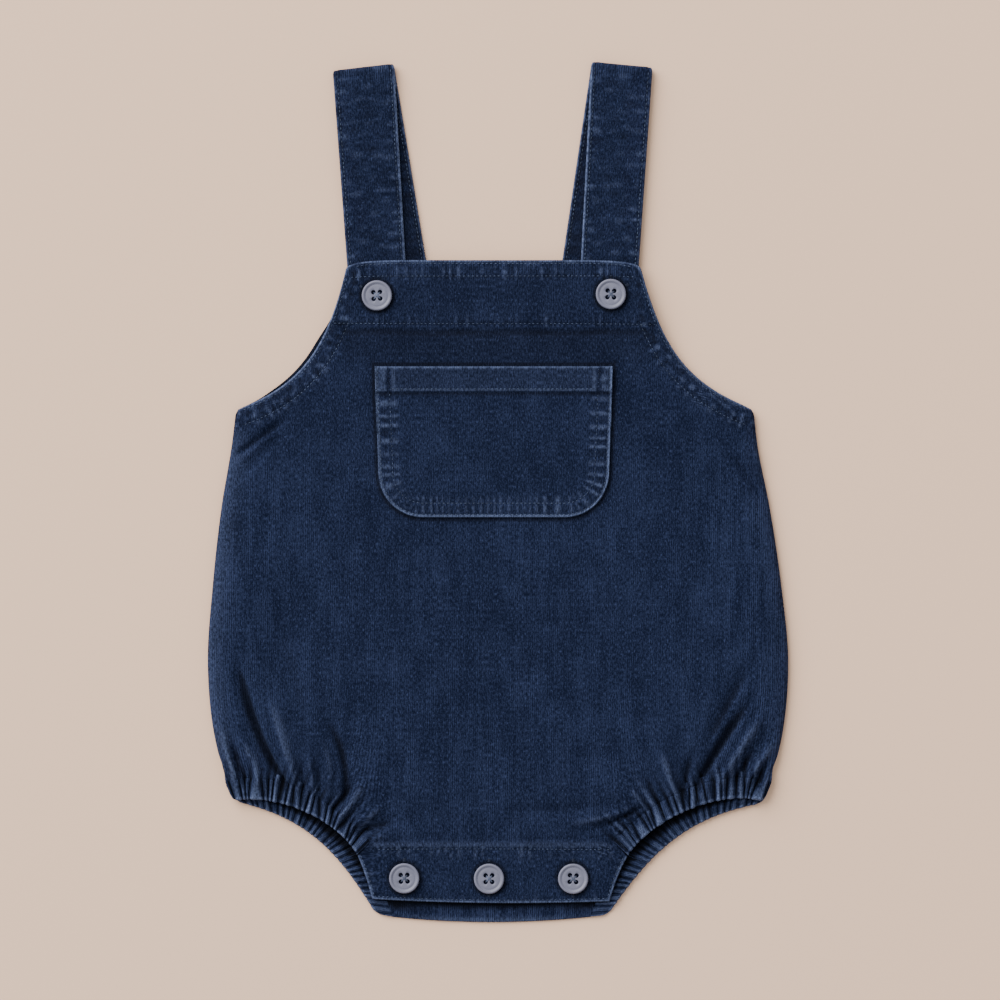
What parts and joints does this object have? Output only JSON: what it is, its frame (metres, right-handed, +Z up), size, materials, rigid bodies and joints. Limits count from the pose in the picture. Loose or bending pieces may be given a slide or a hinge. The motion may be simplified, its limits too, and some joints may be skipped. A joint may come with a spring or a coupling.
{
  "type": "baby romper",
  "caption": "Baby's bib romper in needlecord, laid flat front up, with folded straps, a patch pocket, gathered leg casings and a buttoned crotch flap.",
  "frame": {"origin": "on the floor under the middle of the whole garment's plan", "axes": "+X to the viewer's right with the front up, +Y from the crotch to the straps, +Z up out of the front"},
  "size_m": [0.2901, 0.43, 0.0094],
  "materials": {
    "needlecord": "washed navy fine-wale cotton corduroy, soft nap",
    "button": "satin grey moulded polyester"
  },
  "bodies": {
    "root": {"back_panel": "needlecord", "front_panel": "needlecord", "pocket": "needlecord", "leg_casing_front_left": "needlecord", "leg_casing_front_right": "needlecord", "leg_casing_back_left": "needlecord", "leg_casing_back_right": "needlecord", "strap_left": "needlecord", "strap_right": "needlecord", "button_bib_left": "button", "button_bib_right": "button", "button_crotch_left": "button", "button_crotch_middle": "button", "button_crotch_right": "button"}
  },
  "joints": []
}
